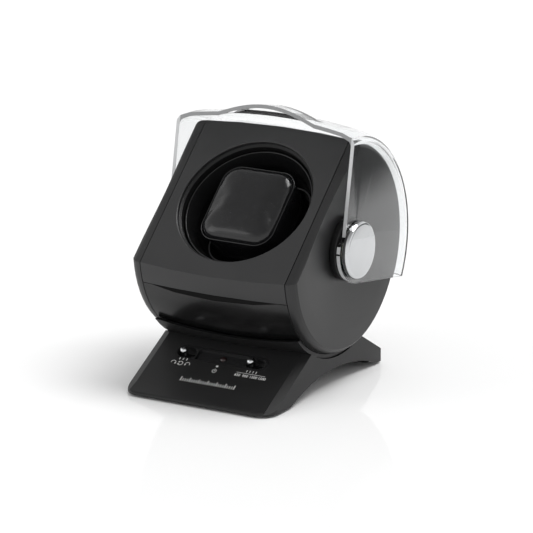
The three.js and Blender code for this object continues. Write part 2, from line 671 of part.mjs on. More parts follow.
// rubber feet
const FEET = [[-40, -84.5], [40, -84.5], [-40, 58.4], [40, 58.4]];
const foot = ([x, y]) => prism(roundRect(x, y, 10, 2.5, 2.4), 0, FOOT_Z + 0.5 - GAP);

// ---------------------------------------------------------------- scene
const BLACK = { color: 0x303032, roughness: 0.5, metalness: 0 };
const GLOSS = { color: 0x101012, roughness: 0.12, metalness: 0 };
const DARK = { color: 0x1a1a1b, roughness: 0.7, metalness: 0 };
const CHROME = { color: 0xd8dade, roughness: 0.08, metalness: 1 };
const STEEL = { color: 0xa8abb0, roughness: 0.35, metalness: 1 };
const NYLON = { color: 0xe6e2d6, roughness: 0.55, metalness: 0 };
const CLEAR = { color: 0xf2f5f6, roughness: 0.05, metalness: 0, transparent: true, opacity: 0.25 };

const root = new THREE.Group();
root.position.y = -(TOE_Y + COVER_CROWN_R) / 2;
function add(name, solid, look) {
  const mesh = new THREE.Mesh(toGeometry(solid), new THREE.MeshStandardMaterial(look));
  mesh.name = name;
  root.add(mesh);
}

add('base_shell', baseShell, BLACK);
add('base_bottom_plate', bottomPlate, DARK);
FEET.forEach((at, i) => add(`rubber_foot_${i + 1}`, foot(at), DARK));
COVER_SCREWS.forEach(([x, y], i) =>
  add(`plate_screw_${i + 1}`, screw(UP, x, y, archAt(y) + 0.1, 2.8, 1.3, 1.1, 3.9), STEEL));
SADDLE_SCREWS.forEach(([x, y], i) =>
  add(`saddle_screw_${i + 1}`, screw(UP, x, y, 17, 2.9, 1.6, 1.1, 11), STEEL));
add('control_insert', insert, GLOSS);
add('direction_lever', lever(DIR_X), CHROME);
add('turns_lever', lever(TPD_X), CHROME);
add('direction_switch', switchBody(DIR_X, DIR_TRAVEL), DARK);
add('turns_switch', switchBody(TPD_X, TPD_TRAVEL), DARK);
add('power_lamp', lamp, { color: 0x180808, roughness: 0.1, metalness: 0 });
add('control_board', board, { color: 0x1f5a34, roughness: 0.5, metalness: 0 });
add('power_inlet', jack, DARK);
add('drum_shell', drumShell, BLACK);
add('front_fascia', fascia, BLACK);
add('side_cap_left', sideCap(-1), BLACK);
add('side_cap_right', sideCap(1), BLACK);
add('opening_bezel', bezel, DARK);
add('motor_plate', motorPlate, STEEL);
[[1, 1], [-1, 1], [1, -1], [-1, -1]].forEach(([i, j], k) =>
  add(
    `plate_post_screw_${k + 1}`,
    screw(TILT, i * POST_X, j * POST_U, PLATE_W - PLATE_T - GAP - 1.6, 3, 1.6, 1.2, 8),
    STEEL,
  ));
add('gear_motor', motor, STEEL);
add('motor_pinion', pinion, NYLON);
add('spindle_bush', bush, { color: 0xb08d4c, roughness: 0.35, metalness: 1 });
add('spindle_clip', clip, STEEL);
add('cup_gear', gear, NYLON);
add('rotating_cup', cup, GLOSS);
add('cushion_holder', holder, GLOSS);
add('watch_cushion', cushion, { color: 0x0c0c0e, roughness: 0.25, metalness: 0 });
add('clear_cover', cover, CLEAR);
for (const [side, word] of [[-1, 'left'], [1, 'right']]) {
  add(`pivot_hub_${word}`, hub(side), DARK);
  add(`friction_washer_${word}`, washer(side), NYLON);
  add(`pivot_screw_${word}`, pivotScrew(side), STEEL);
  add(`chrome_puck_${word}`, puck(side), CHROME);
}

export default root;
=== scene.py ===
import json
import math

import bmesh
import bpy
from mathutils import Matrix, Vector


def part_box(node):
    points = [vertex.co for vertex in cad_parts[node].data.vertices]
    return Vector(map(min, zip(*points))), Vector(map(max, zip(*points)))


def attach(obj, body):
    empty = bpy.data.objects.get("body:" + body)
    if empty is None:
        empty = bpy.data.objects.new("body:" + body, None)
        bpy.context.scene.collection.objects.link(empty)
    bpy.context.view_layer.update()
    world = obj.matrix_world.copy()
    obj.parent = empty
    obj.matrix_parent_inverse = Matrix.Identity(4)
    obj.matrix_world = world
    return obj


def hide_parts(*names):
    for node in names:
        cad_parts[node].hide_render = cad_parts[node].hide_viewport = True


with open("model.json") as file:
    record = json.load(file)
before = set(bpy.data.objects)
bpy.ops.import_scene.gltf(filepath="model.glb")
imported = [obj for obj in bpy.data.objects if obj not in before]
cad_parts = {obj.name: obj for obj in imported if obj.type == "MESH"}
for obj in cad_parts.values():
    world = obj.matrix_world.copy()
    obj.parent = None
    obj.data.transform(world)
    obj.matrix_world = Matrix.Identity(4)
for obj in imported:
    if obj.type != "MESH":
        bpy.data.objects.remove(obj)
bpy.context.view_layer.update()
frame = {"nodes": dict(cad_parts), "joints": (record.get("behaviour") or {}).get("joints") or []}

MM = 0.001
X_AXIS = Vector((1, 0, 0))
NODES = frame["nodes"]
JOINTS = {joint["name"]: joint for joint in frame["joints"]}

# ------------------------------------------------------------------ places, from the frame
DRUM_AXIS = Vector(JOINTS["cover_hinge"]["pos_m"])
FACE_NORMAL = Vector(JOINTS["cup_spin"]["axis"]).normalized()
FACE_UP = FACE_NORMAL.cross(X_AXIS)


def placed(x_axis, y_axis, z_axis, origin):
    """The matrix of a local frame."""
    matrix = Matrix((x_axis, y_axis, z_axis)).transposed().to_4x4()
    matrix.translation = origin
    return matrix


# (x, u, w): u up the leaning front, w out of it
LEAN = placed(X_AXIS, FACE_UP, FACE_NORMAL, DRUM_AXIS)
# lathes about the drum's axis: height is X
ABOUT_AXIS = placed(Vector((0, 1, 0)), Vector((0, 0, 1)), X_AXIS, DRUM_AXIS)

PANEL_SLOPE = math.radians(29.35)
PANEL_UP = Vector((0, math.cos(PANEL_SLOPE), math.sin(PANEL_SLOPE)))
PANEL_NORMAL = Vector((0, -math.sin(PANEL_SLOPE), math.cos(PANEL_SLOPE)))
INSERT_MIDDLE_DEPTH = 2.725  # the control insert's middle lies this far under the panel
insert_low, insert_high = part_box("control_insert")
insert_middle = (insert_low + insert_high) / 2
panel_origin = insert_middle + PANEL_NORMAL * INSERT_MIDDLE_DEPTH * MM
panel_origin.x = 0
# (x, up the slope, out of the panel), on the line that the levers slide along
PANEL = placed(X_AXIS, PANEL_UP, PANEL_NORMAL, panel_origin)


# ------------------------------------------------------------------ mesh tools
def new_object(name, mesh):
    obj = bpy.data.objects.new(name, mesh)
    bpy.context.scene.collection.objects.link(obj)
    return obj


def from_bmesh(name, bm):
    bmesh.ops.recalc_face_normals(bm, faces=bm.faces)
    mesh = bpy.data.meshes.new(name)
    bm.to_mesh(mesh)
    bm.free()
    return new_object(name, mesh)


def lathe(name, profile, place, segments=96, closed=False, at=(0, 0)):
    """A profile of (radius, height) turned about a frame's third axis."""
    bm = bmesh.new()
    rings = []
    for radius, height in profile:
        count = segments if radius > 1e-6 else 1
        ring = []
        for i in range(count):
            angle = 2 * math.pi * i / segments
            local = Vector((at[0] + radius * math.cos(angle), at[1] + radius * math.sin(angle), height))
            ring.append(bm.verts.new(place @ (local * MM)))
        rings.append(ring)
    pairs = list(zip(rings, rings[1:]))
    if closed:
        pairs.append((rings[-1], rings[0]))
    for low, high in pairs:
        for i in range(segments):
            j = i + 1
            corners = [low[i % len(low)], low[j % len(low)], high[j % len(high)], high[i % len(high)]]
            corners = list(dict.fromkeys(corners))
            if len(corners) > 2:
                bm.faces.new(corners)
    return from_bmesh(name, bm)


def add_prism(bm, outline, low, high, place):
    """An outline in a frame's first two axes, pushed along its third."""
    ends = []
    for height in (low, high):
        ends.append([bm.verts.new(place @ (Vector((a, b, height)) * MM)) for a, b in outline])
    count = len(outline)
    for i in range(count):
        j = (i + 1) % count
        bm.faces.new([ends[0][i], ends[0][j], ends[1][j], ends[1][i]])
    bm.faces.new(ends[0][::-1])
    bm.faces.new(ends[1])


def prism(name, outline, low, high, place):
    bm = bmesh.new()
    add_prism(bm, outline, low, high, place)
    return from_bmesh(name, bm)


def apply_modifiers(obj):
    graph = bpy.context.evaluated_depsgraph_get()
    mesh = bpy.data.meshes.new_from_object(obj.evaluated_get(graph))
    old = obj.data
    obj.modifiers.clear()
    obj.data = mesh
    bpy.data.meshes.remove(old)


def boolean(obj, tool, operation):
    """Cuts, joins or intersects obj with tool, and removes tool."""
    modifier = obj.modifiers.new("boolean", "BOOLEAN")
    modifier.operation = operation
    modifier.solver = "EXACT"
    modifier.use_self = True
    modifier.object = tool
    apply_modifiers(obj)
    bpy.data.objects.remove(tool)
    return obj


def smooth(obj, angle=30):
    obj.data.shade_smooth()
    obj.data.set_sharp_from_angle(angle=math.radians(angle))


def soften(obj, width, angle=25):
    """Rounds the edges, so that they catch the light."""
    modifier = obj.modifiers.new("soft_edges", "BEVEL")
    modifier.width = width * MM
    modifier.segments = 2
    modifier.limit_method = "ANGLE"
    modifier.angle_limit = math.radians(angle)
    modifier.harden_normals = True
    modifier.use_clamp_overlap = True


def arc(centre, radius, start, end, steps):
    points = []
    for i in range(steps + 1):
        angle = math.radians(start + (end - start) * i / steps)
        points.append((centre[0] + radius * math.cos(angle), centre[1] + radius * math.sin(angle)))
    return points


def rounded_rectangle(half_x, half_y, radius, centre=(0, 0), steps=8):
    points = []
    for i, (sx, sy) in enumerate([(1, 1), (-1, 1), (-1, -1), (1, -1)]):
        corner = (centre[0] + sx * (half_x - radius), centre[1] + sy * (half_y - radius))
        points += arc(corner, radius, 90 * i, 90 * i + 90, steps)
    return points


def piece(obj, material, body, nodes=()):
    """Gives a finished piece its material and body, and hides the CAD nodes that it stands for."""
    obj.data.materials.clear()
    obj.data.materials.append(material)
    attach(obj, body)
    if nodes:
        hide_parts(*nodes)


# ------------------------------------------------------------------ materials
class Surface:
    """A Principled material whose colour, roughness and bump vary over the piece."""

    def __init__(self, name, color, roughness, **sockets):
        self.material = bpy.data.materials.new(name)
        self.material.use_nodes = True
        self.tree = self.material.node_tree
        self.shader = self.tree.nodes["Principled BSDF"]
        self.shader.inputs["Base Color"].default_value = (*color, 1)
        self.shader.inputs["Roughness"].default_value = roughness
        for socket, value in sockets.items():
            self.shader.inputs[socket.replace("_", " ")].default_value = value
        self.color = color
        self.place = self.tree.nodes.new("ShaderNodeTexCoord").outputs["Object"]
        self.normal = None

    def node(self, kind, **values):
        node = self.tree.nodes.new(kind)
        for key, value in values.items():
            setattr(node, key, value)
        return node

    def stretched(self, scale):
        mapping = self.node("ShaderNodeMapping")
        mapping.inputs["Scale"].default_value = scale
        self.tree.links.new(self.place, mapping.inputs["Vector"])
        return mapping.outputs["Vector"]

    def noise(self, scale, detail=3, stretch=None):
        noise = self.node("ShaderNodeTexNoise")
        noise.inputs["Scale"].default_value = scale
        noise.inputs["Detail"].default_value = detail
        source = self.place if stretch is None else self.stretched(stretch)
        self.tree.links.new(source, noise.inputs["Vector"])
        return noise.outputs["Fac"]

    def between(self, factor, low, high):
        """Spreads the middle of a noise's range over low to high."""
        spread = self.node("ShaderNodeMapRange")
        spread.inputs["From Min"].default_value = 0.3
        spread.inputs["From Max"].default_value = 0.7
        spread.inputs["To Min"].default_value = low
        spread.inputs["To Max"].default_value = high
        self.tree.links.new(factor, spread.inputs["Value"])
        return spread.outputs["Result"]

    def tint(self, factor, other):
        """Colour that drifts towards another with a 0 to 1 factor."""
        mix = self.node("ShaderNodeMix", data_type="RGBA")
        current = self.shader.inputs["Base Color"]
        if current.is_linked:
            self.tree.links.new(current.links[0].from_socket, mix.inputs["A"])
        else:
            mix.inputs["A"].default_value = (*self.color, 1)
        mix.inputs["B"].default_value = (*other, 1)
        self.tree.links.new(factor, mix.inputs["Factor"])
        self.tree.links.new(mix.outputs["Result"], current)
        return self

    def rough(self, factor, low, high):
        self.tree.links.new(self.between(factor, low, high), self.shader.inputs["Roughness"])
        return self

    def bump(self, height, depth, strength=1.0):
        """Relief of depth millimetres from a 0 to 1 height."""
        bump = self.node("ShaderNodeBump")
        bump.inputs["Strength"].default_value = strength
        bump.inputs["Distance"].default_value = depth * MM
        self.tree.links.new(height, bump.inputs["Height"])
        if self.normal is not None:
            self.tree.links.new(self.normal, bump.inputs["Normal"])
        self.normal = bump.outputs["Normal"]
        self.tree.links.new(self.normal, self.shader.inputs["Normal"])
        return self


def satin_plastic(name, grey, roughness, grain=0.012, specular=0.5):
    """Moulded black plastic: a spark-eroded grain, faint flow marks and handling smears."""
    color = (grey, grey, grey * 1.03)
    s = Surface(name, color, roughness, Specular_IOR_Level=specular)
    s.tint(s.between(s.noise(35, 4), 0, 0.35), (grey * 1.35, grey * 1.35, grey * 1.38))
    s.rough(s.noise(18, 5), roughness - 0.035, roughness + 0.045)
    s.bump(s.noise(2600, 2), grain, 0.6)
    s.bump(s.noise(90, 2), 0.02, 0.25)
    return s.material


NOTCH_NORMAL = Vector((0, -1.091, 0.094)).normalized()  # the notch's facet faces forward, a little up


def paint_notch_shade(material, grey):
    """Paints shade into the drum's finger notch, the one facet of the shell that faces that way: it
    darkens the colour there and cuts the reflection.
    """
    tree = material.node_tree
    shader = tree.nodes["Principled BSDF"]
    facing = tree.nodes.new("ShaderNodeNewGeometry")
    aligned = tree.nodes.new("ShaderNodeVectorMath")
    aligned.operation = "DOT_PRODUCT"
    aligned.inputs[1].default_value = NOTCH_NORMAL
    tree.links.new(facing.outputs["True Normal"], aligned.inputs[0])
    inside = tree.nodes.new("ShaderNodeMapRange")
    inside.inputs["From Min"].default_value = 0.99
    inside.inputs["From Max"].default_value = 0.997
    tree.links.new(aligned.outputs["Value"], inside.inputs["Value"])
    mix = tree.nodes.new("ShaderNodeMix")
    mix.data_type = "RGBA"
    tree.links.new(inside.outputs["Result"], mix.inputs["Factor"])
    tree.links.new(shader.inputs["Base Color"].links[0].from_socket, mix.inputs["A"])
    mix.inputs["B"].default_value = (grey, grey, grey, 1)
    tree.links.new(mix.outputs["Result"], shader.inputs["Base Color"])
    shine = tree.nodes.new("ShaderNodeMapRange")
    shine.inputs["To Min"].default_value = 0.5
    shine.inputs["To Max"].default_value = 0.08
    tree.links.new(inside.outputs["Result"], shine.inputs["Value"])
    tree.links.new(shine.outputs["Result"], shader.inputs["Specular IOR Level"])


def gloss_plastic(name, grey, roughness, specular=0.5):
    color = (grey, grey, grey * 1.05)
    s = Surface(name, color, roughness, Specular_IOR_Level=specular, Coat_Weight=0.25, Coat_Roughness=0.06)
    s.tint(s.between(s.noise(60, 3), 0, 0.4), (grey * 1.5, grey * 1.5, grey * 1.55))
    s.rough(s.noise(45, 6), roughness - 0.03, roughness + 0.05)
    s.bump(s.noise(120, 2), 0.012, 0.3)
    return s.material


def metal(name, color, roughness, brushed=None, bump=0.004):
    s = Surface(name, color, roughness, Metallic=1.0)
    scratches = s.noise(1400 if brushed else 260, 4, brushed)
    s.rough(scratches, max(roughness - 0.03, 0.015), roughness + 0.05)
    s.tint(s.between(s.noise(70, 3), 0, 0.25), tuple(c * 0.88 for c in color))
    s.bump(scratches, bump, 0.3)
    return s.material


def clear_acrylic():
    """Polished clear acrylic, very slightly waved, with faint wiping marks."""
    s = Surface("clear_acrylic", (0.965, 0.975, 0.98), 0.02, Transmission_Weight=1.0, IOR=1.49)
    s.rough(s.noise(30, 6, (1, 1, 4)), 0.012, 0.04)
    s.bump(s.noise(22, 2), 0.02, 0.2)
    return s.material


def acrylic_edge(name, grey, roughness):
    """A sawn and flamed edge, drawn opaque: it scatters the light that runs along the sheet, and its grey
    is painted light, set lighter or darker for each edge.
    """
    s = Surface(name, (grey, grey * 1.01, grey * 1.02), roughness, IOR=1.49)
    s.tint(s.between(s.noise(30, 2), 0, 0.3), (grey * 0.85, grey * 0.86, grey * 0.87))
    s.rough(s.noise(200, 2), roughness - 0.05, roughness + 0.05)
    s.bump(s.noise(600, 2), 0.008, 0.3)
    return s.material


def leatherette():
    """Glossy black coated fabric with a fine pebble grain and soft creases."""
    s = Surface(
        "cushion_leatherette", (0.006, 0.006, 0.0065), 0.22,
        Specular_IOR_Level=0.35, Coat_Weight=0.3, Coat_Roughness=0.08,
    )
    cells = s.node("ShaderNodeTexVoronoi")
    cells.inputs["Scale"].default_value = 900
    s.tree.links.new(s.place, cells.inputs["Vector"])
    s.tint(s.between(s.noise(120, 5), 0, 0.5), (0.011, 0.011, 0.012))
    s.rough(s.noise(200, 4), 0.17, 0.28)
    s.bump(cells.outputs["Distance"], 0.05, 0.35)
    s.bump(s.noise(260, 4), 0.06, 0.35)
    s.bump(s.noise(60, 2), 0.25, 0.3)
    return s.material


def printed_ink():
    s = Surface("white_print", (0.78, 0.78, 0.77), 0.45)
    s.tint(s.between(s.noise(900, 3), 0, 0.4), (0.66, 0.66, 0.65))
    s.bump(s.noise(2400, 2), 0.01, 0.4)
    return s.material


def soft_rubber():
    s = Surface("foot_rubber", (0.018, 0.018, 0.018), 0.82)
    s.tint(s.between(s.noise(300, 4), 0, 0.6), (0.035, 0.034, 0.033))
    s.rough(s.noise(400, 3), 0.74, 0.9)
    s.bump(s.noise(1800, 3), 0.05, 0.5)
    return s.material


def circuit_board():
    s = Surface("board_green", (0.03, 0.16, 0.07), 0.4, Coat_Weight=0.3)
    tracks = s.node("ShaderNodeTexBrick")
    tracks.inputs["Scale"].default_value = 120
    s.tree.links.new(s.place, tracks.inputs["Vector"])
    s.tint(tracks.outputs["Fac"], (0.05, 0.24, 0.11))
    s.bump(tracks.outputs["Fac"], 0.03, 0.5)
    return s.material


def nylon():
    s = Surface("natural_nylon", (0.78, 0.76, 0.70), 0.5, Subsurface_Weight=0.15, Subsurface_Scale=0.002)
    s.tint(s.between(s.noise(150, 3), 0, 0.4), (0.70, 0.67, 0.60))
    s.rough(s.noise(90, 3), 0.42, 0.56)
    s.bump(s.noise(900, 2), 0.02, 0.4)
    return s.material


def lamp_lens():
    s = Surface("lamp_lens", (0.02, 0.006, 0.006), 0.12, Coat_Weight=0.6, Coat_Roughness=0.05)
    rings = s.node("ShaderNodeTexWave", wave_type="RINGS")
    rings.inputs["Scale"].default_value = 220
    s.tree.links.new(s.place, rings.inputs["Vector"])
    s.tint(rings.outputs["Fac"], (0.012, 0.004, 0.004))
    s.bump(rings.outputs["Fac"], 0.02, 0.3)
    return s.material


BASE = satin_plastic("base_plastic", 0.012, 0.40, specular=0.3)
DRUM = satin_plastic("drum_plastic", 0.004, 0.24)
# painted shade: the finger notch's facet is drawn darker and less reflective than the rest of the drum
paint_notch_shade(DRUM, 0.003)
CAP = satin_plastic("cap_plastic", 0.013, 0.36, specular=0.45)
FASCIA = satin_plastic("fascia_plastic", 0.018, 0.42)
RECESS = satin_plastic("recess_plastic", 0.006, 0.45, specular=0.25)
PLATE = satin_plastic("plate_plastic", 0.012, 0.55, grain=0.03)
TRIM = gloss_plastic("trim_plastic", 0.012, 0.22)
CUP = gloss_plastic("cup_gloss", 0.007, 0.3, specular=0.3)
CHROME = metal("polished_chrome", (0.62, 0.63, 0.64), 0.045)
STEEL = metal("zinc_steel", (0.56, 0.57, 0.58), 0.32, brushed=(1, 14, 1), bump=0.01)
BRASS = metal("bush_brass", (0.62, 0.47, 0.22), 0.28, brushed=(14, 1, 1), bump=0.01)
ACRYLIC = clear_acrylic()
# painted light and shade: the same sawn edge, painted light grey on the plates and dark grey on the wrap
PAINTED_LIGHT_PLATE_EDGE = acrylic_edge("acrylic_plate_edge_painted_light", 0.62, 0.3)
PAINTED_SHADE_WRAP_EDGE = acrylic_edge("acrylic_wrap_edge_painted_shade", 0.3, 0.25)
LEATHER = leatherette()
INK = printed_ink()
RUBBER = soft_rubber()
BOARD = circuit_board()
NYLON = nylon()
LENS = lamp_lens()


# ------------------------------------------------------------------ CAD nodes that stay
def smoothing_group(degrees):
    """Drops stored normals and marks the edges over a number of degrees sharp."""
    group = bpy.data.node_groups.new(f"smooth_under_{degrees}", "GeometryNodeTree")
    group.interface.new_socket("Geometry", in_out="INPUT", socket_type="NodeSocketGeometry")
    group.interface.new_socket("Geometry", in_out="OUTPUT", socket_type="NodeSocketGeometry")
    nodes = group.nodes
    start = nodes.new("NodeGroupInput")
    end = nodes.new("NodeGroupOutput")
    drop = nodes.new("GeometryNodeRemoveAttribute")
    drop.inputs["Name"].default_value = "custom_normal"
    faces = nodes.new("GeometryNodeSetShadeSmooth")
    edges = nodes.new("GeometryNodeSetShadeSmooth")
    edges.domain = "EDGE"
    edges.inputs["Shade Smooth"].default_value = False
    angle = nodes.new("GeometryNodeInputMeshEdgeAngle")
    limit = nodes.new("FunctionNodeCompare")
    limit.operation = "GREATER_THAN"
    limit.inputs[1].default_value = math.radians(degrees)
    links = group.links
    links.new(start.outputs[0], drop.inputs["Geometry"])
    links.new(drop.outputs["Geometry"], faces.inputs["Geometry"])
    links.new(faces.outputs["Geometry"], edges.inputs["Geometry"])
    links.new(angle.outputs["Unsigned Angle"], limit.inputs[0])
    links.new(limit.outputs["Result"], edges.inputs["Selection"])
    links.new(edges.outputs["Geometry"], end.inputs[0])
    return group


SMOOTHING = {degrees: smoothing_group(degrees) for degrees in (12, 25)}


def keep(node, material, edge, angle=25):
    """A CAD node stays as it is, with soft edges and a detailed material."""
    obj = NODES[node]
    obj.data.materials.clear()
    obj.data.materials.append(material)
    weld = obj.modifiers.new("weld", "WELD")
    weld.merge_threshold = 0.00001
    planar = obj.modifiers.new("planar", "DECIMATE")
    planar.decimate_type = "DISSOLVE"
    planar.angle_limit = math.radians(0.4)
    shading = obj.modifiers.new("smooth_by_angle", "NODES")
    shading.node_group = SMOOTHING[angle]
    if edge:
        soften(obj, edge, angle)


KEPT = {
    "base_shell": (BASE, 0.2),
    "base_bottom_plate": (PLATE, 0.3),
    "control_insert": (TRIM, 0.3),
    "direction_switch": (PLATE, 0.2),
    "turns_switch": (PLATE, 0.2),
    "control_board": (BOARD, 0),
    "power_inlet": (TRIM, 0.2),
    "drum_shell": (DRUM, 0.3, 12),
    "front_fascia": (FASCIA, 0.4),
    "side_cap_left": (CAP, 0.4),
    "side_cap_right": (CAP, 0.4),
    "motor_plate": (STEEL, 0.2),
    "gear_motor": (STEEL, 0.3),
    "motor_pinion": (NYLON, 0),
    "cup_gear": (NYLON, 0),
    "spindle_bush": (BRASS, 0.15),
    "spindle_clip": (STEEL, 0.1),
    "cushion_holder": (CUP, 0.4),
    "friction_washer_left": (NYLON, 0),
    "friction_washer_right": (NYLON, 0),
    "pivot_screw_left": (STEEL, 0.1),
    "pivot_screw_right": (STEEL, 0.1),
    "saddle_screw_1": (STEEL, 0.1),
    "saddle_screw_2": (STEEL, 0.1),
}
for index in range(1, 5):
    KEPT[f"plate_post_screw_{index}"] = (STEEL, 0.1)
    KEPT[f"rubber_foot_{index}"] = (RUBBER, 0.3)
for name, settings in KEPT.items():
    keep(name, *settings)


# ------------------------------------------------------------------ turned pieces
def turned_piece(
    name, node, profile, place, material, body, segments=128, closed=False, edge=0, at=(0, 0)
):
    """A turned piece that stands for one CAD node."""
    obj = lathe(name, profile, place, segments, closed, at)
    smooth(obj, 28)
    if edge:
        soften(obj, edge)
    piece(obj, material, body, [node])


def rounded(points, radius, steps=4):
    """A profile whose inner corners are rounded."""
    result = [points[0]]
    for before, corner, after in zip(points, points[1:], points[2:]):
        here = Vector(corner)
        to_before = Vector(before) - here
        to_after = Vector(after) - here
        reach = min(radius, 0.45 * to_before.length, 0.45 * to_after.length)
        start = here + to_before.normalized() * reach
        end = here + to_after.normalized() * reach
        for i in range(steps + 1):
            t = i / steps
            point = start * (1 - t) ** 2 + here * 2 * t * (1 - t) + end * t**2
            result.append(tuple(point))
    result.append(points[-1])
    return result


# the cup, the ring in the opening, and the hubs and pucks of the cover's pivots
CUP_PROFILE = [
    (0, -34), (4, -34), (4, -12.4), (9, -10.4), (42, -10.4), (45, -7.4), (45, 20), (47.9, 33.8),
    (47.9, 35.4), (47.3, 36), (46.5, 36), (43, 24), (43, -6), (41, -8), (0, -8),
]
BEZEL_PROFILE = [
    (50.2, 40.9), (48.6, 39.4), (48.6, 33.5), (50.4, 33.5), (51.2, 38.2), (52.4, 38.4), (52.4, 40.9),
]
turned_piece("cup_bowl", "rotating_cup", rounded(CUP_PROFILE, 1.0, 3), LEAN, CUP, "cup")
turned_piece(
    "opening_ring", "opening_bezel", BEZEL_PROFILE, LEAN, RECESS, "housing",
    closed=True, edge=0.2,
)

HUB_PROFILE = [
    (0, 63.5), (21.8, 63.5), (22.4, 64), (22.4, 67.9), (21.8, 68.4), (8.7, 68.4), (8.7, 72), (0, 72),
]
PUCK_PROFILE = [
    (0, 74.9), (17.6, 74.9), (17.6, 72.4), (20, 72.4), (20.4, 72.9), (20.4, 75.3),
    (19.6, 76.6), (18.6, 77), (0, 77),
]


def outward(profile, side):
    """A right-hand profile, turned over for the left when side is -1."""
    return [(radius, side * x) for radius, x in profile]


for side, word in ((-1, "left"), (1, "right")):
    turned_piece(
        f"hub_disc_{word}", f"pivot_hub_{word}", outward(rounded(HUB_PROFILE, 0.3, 2), side), ABOUT_AXIS,
        RECESS, "housing",
    )
    turned_piece(
        f"puck_{word}", f"chrome_puck_{word}", outward(rounded(PUCK_PROFILE, 0.7, 4), side), ABOUT_AXIS,
        CHROME, "housing", segments=160,
    )


# ------------------------------------------------------------------ controls
LEVER_PROFILE = [
    (0, -7.4), (0.9, -7.4), (0.9, -3.2), (1.5, -3), (1.6, -1), (2.4, -0.6), (2.7, 0.6), (2.6, 2), (1.9, 3),
    (0.9, 3.35), (0, 3.4),
]
LAMP_PROFILE = [
    (0, -10.4), (1.5, -10.4), (1.5, -5), (2.35, -4.6), (2.35, -1.6), (2, -0.9), (1.1, -0.5), (0, -0.4),
]


def middle_x(node):
    """In millimetres."""
    low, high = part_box(node)
    return (low.x + high.x) / 2 / MM


for node, body in (("direction_lever", "direction_slider"), ("turns_lever", "turns_slider")):
    turned_piece(
        f"{node}_knob", node, rounded(LEVER_PROFILE, 0.5, 3), PANEL, CHROME, body,
        segments=64, at=(middle_x(node), 0),
    )
turned_piece(
    "lamp_dome", "power_lamp", rounded(LAMP_PROFILE, 0.4, 3), PANEL, LENS, "housing",
    segments=48, at=(middle_x("power_lamp"), 0),
)


# ------------------------------------------------------------------ screws under the base
def cross_screw(node, radius=2.8, head=1.3):
    """A pan head with a cross recess, over the CAD screw's own place."""
    low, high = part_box(node)
    centre = (low + high) / 2
    place = placed(X_AXIS, Vector((0, 1, 0)), Vector((0, 0, 1)), Vector((centre.x, centre.y, low.z)))
    length = (high.z - low.z) / MM
    profile = [
        (0, 0), (radius * 0.8, 0), (radius, 0.5), (radius, head), (1.1, head), (1.1, length), (0, length),
    ]
    obj = lathe(f"{node}_head", rounded(profile, 0.25, 2), place, 40)
    for turn in (0, 90):
        turned = place @ Matrix.Rotation(math.radians(turn + 20), 4, "Z")
        arm = prism("arm", [(-1.5, -0.32), (1.5, -0.32), (1.5, 0.32), (-1.5, 0.32)], -1, 0.8, turned)
        boolean(obj, arm, "DIFFERENCE")
    smooth(obj, 30)
    piece(obj, STEEL, "housing", [node])


for index in range(1, 5):
    cross_screw(f"plate_screw_{index}")


# ------------------------------------------------------------------ printed marks on the panel
INK_LOW, INK_HIGH = 0.02, 0.05  # above the panel


def bar(x, y, half_x, half_y):
    corners = [(-half_x, -half_y), (half_x, -half_y), (half_x, half_y), (-half_x, half_y)]
    return [(x + a, y + b) for a, b in corners]


def stroke(points, width):
    """An outline around a line of points."""
    left, right = [], []
    for i, point in enumerate(points):
        ahead = Vector(points[min(i + 1, len(points) - 1)]) - Vector(points[max(i - 1, 0)])
        across = Vector((-ahead.y, ahead.x)).normalized() * width / 2
        left.append((point[0] + across.x, point[1] + across.y))
        right.append((point[0] - across.x, point[1] - across.y))
    return left + right[::-1]


def arrow_head(tip, direction, size):
    angle = math.radians(direction)
    forward = Vector((math.cos(angle), math.sin(angle)))
    across = Vector((-forward.y, forward.x))
    base = Vector(tip) - forward * size * 0.2
    side = across * size * 0.65
    return [tuple(base + forward * size), tuple(base + side), tuple(base - side)]


def turning_icon(x, y, start, end, heads, radius=1.75):
    """An open ring with an arrow head at one or both ends."""
    shapes = [stroke(arc((x, y), radius, start, end, 20), 0.42)]
    if "end" in heads:
        tip = arc((x, y), radius, end, end, 1)[0]
        shapes.append(arrow_head(tip, end + (90 if end > start else -90), 1.25))
    if "start" in heads:
        tip = arc((x, y), radius, start, start, 1)[0]
        shapes.append(arrow_head(tip, start + (-90 if end > start else 90), 1.25))
    return shapes


def marks():
    """Every printed shape, as outlines on the panel: (x, distance up from the levers' line)."""
    shapes = []
    for x in (-33.2, -30.35, -27.5):
        shapes.append(bar(x, -7.1, 0.27, 1.0))
    shapes += turning_icon(-36.2, -11.4, 200, -20, ["end"])
    shapes += turning_icon(-30.6, -11.4, 220, 500, ["start", "end"])
    shapes += turning_icon(-24.9, -11.4, -20, 200, ["end"])
    shapes.append(arc((-2, -8.7), 0.95, 0, 350, 24))
    shapes.append(stroke(arc((-2, -13.2), 1.55, 125, 415, 24), 0.42))
    shapes.append(bar(-2, -12.2, 0.22, 1.15))
    for x in (22, 24.5, 27, 29.5):
        shapes.append(bar(x, -8.5, 0.27, 1.0))
    shapes.append(bar(26.4, -10.7, 11.4, 0.16))
    count = 25
    for i in range(count):
        x = -22.6 + 43.2 * i / (count - 1)
        tall = i % 4 == 0
        shapes.append(bar(x, -25.2 if tall else -25.9, 0.34 if tall else 0.24, 2.0 if tall else 1.3))
    return shapes


def printed_marks():
    bm = bmesh.new()
    for outline in marks():
        add_prism(bm, outline, INK_LOW, INK_HIGH, PANEL)
    piece(from_bmesh("panel_marks", bm), INK, "housing")


